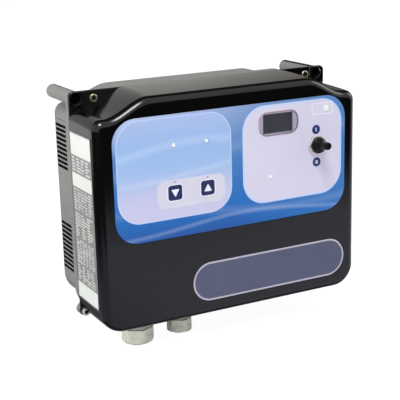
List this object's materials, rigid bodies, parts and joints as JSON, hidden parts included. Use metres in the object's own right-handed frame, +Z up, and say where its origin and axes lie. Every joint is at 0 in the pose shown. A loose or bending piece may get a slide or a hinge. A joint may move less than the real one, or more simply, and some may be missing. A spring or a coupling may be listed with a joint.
{
  "type": "salt chlorine generator control box",
  "caption": "Wall-hung control box of a pool salt chlorine generator: gloss cover with a keypad film, digit display and toggle switch, vented rear housing and cable glands below.",
  "frame": {"origin": "middle of the flat back, in the plane of the wall", "axes": "+X to the right seen from the front, +Y into the wall, +Z up"},
  "size_m": [0.2807, 0.1423, 0.2448],
  "materials": {
    "cover_black": "gloss moulded plastic",
    "housing_grey": "fine matt moulded plastic",
    "film_blue": "printed film, satin",
    "key_navy": "satin plastic",
    "lens_white": "translucent lens",
    "window_clear": "clear window",
    "bezel_grey": "matt plastic",
    "screen_black": "dark filter",
    "plate_slate": "printed film, satin",
    "label_silver": "satin foil label",
    "rubber_black": "matt rubber",
    "bright_metal": "bright nickel plate",
    "screw_zinc": "yellow zinc plate",
    "gland_grey": "satin nylon",
    "board_green": "solder mask",
    "coil_tape": "wound copper under tape",
    "sink_metal": "extruded",
    "chip_black": "moulded",
    "relay_blue": "moulded",
    "terminal_green": "moulded",
    "fuse_glass": "glass tube",
    "ribbon_grey": "flexible"
  },
  "bodies": {
    "box": {"rear_housing": "housing_grey", "front_cover": "cover_black", "cover_gasket": "rubber_black", "toggle_boot_skirt": "rubber_black", "thick_gland_washer": "rubber_black", "thick_gland_seal": "rubber_black", "thin_gland_washer": "rubber_black", "thin_gland_seal": "rubber_black", "cover_screw_top_left": "screw_zinc", "cover_screw_top_right": "screw_zinc", "cover_screw_bottom_left": "screw_zinc", "cover_screw_bottom_right": "screw_zinc", "keypad_overlay": "film_blue", "name_plate": "plate_slate", "rating_label": "label_silver", "display_window": "window_clear", "display_bezel": "bezel_grey", "display_module": "screen_black", "display_board": "board_green", "main_board": "board_green", "display_board_screw_1": "bright_metal", "display_board_screw_2": "bright_metal", "toggle_bushing": "bright_metal", "toggle_nut": "bright_metal", "main_board_screw_1": "bright_metal", "main_board_screw_2": "bright_metal", "main_board_screw_3": "bright_metal", "main_board_screw_4": "bright_metal", "transformer_clamp": "bright_metal", "transformer_bolt": "bright_metal", "key_switch_down": "chip_black", "key_switch_up": "chip_black", "toggle_body": "chip_black", "bridge_rectifier": "chip_black", "capacitor": "chip_black", "fuse_holder": "chip_black", "indicator_left": "lens_white", "indicator_right": "lens_white", "indicator_sensor": "lens_white", "indicator_power": "lens_white", "thick_gland_body": "gland_grey", "thick_gland_locknut": "gland_grey", "thick_gland_dome_nut": "gland_grey", "thin_gland_body": "gland_grey", "thin_gland_locknut": "gland_grey", "thin_gland_dome_nut": "gland_grey", "relay_left": "relay_blue", "relay_right": "relay_blue", "mains_terminal": "terminal_green", "cell_terminal": "terminal_green", "fuse": "fuse_glass", "heat_sink": "sink_metal", "transformer_coil": "coil_tape", "ribbon_cable": "ribbon_grey"},
    "toggle": {"toggle_lever": "bright_metal", "toggle_boot_sleeve": "rubber_black"},
    "key_down": {"key_down": "key_navy"},
    "key_up": {"key_up": "key_navy"}
  },
  "joints": [
    {"name": "toggle_throw", "type": "hinge", "parent": "box", "child": "toggle", "pos_m": [0.0924, -0.1225, 0.04265], "axis": [1, 0, 0], "range_deg": [0, 12]},
    {"name": "key_down_press", "type": "slide", "parent": "box", "child": "key_down", "axis": [0, 1, 0], "range_m": [0, 0.0005], "stiffness_N_per_m": 400},
    {"name": "key_up_press", "type": "slide", "parent": "box", "child": "key_up", "axis": [0, 1, 0], "range_m": [0, 0.0005], "stiffness_N_per_m": 400}
  ]
}
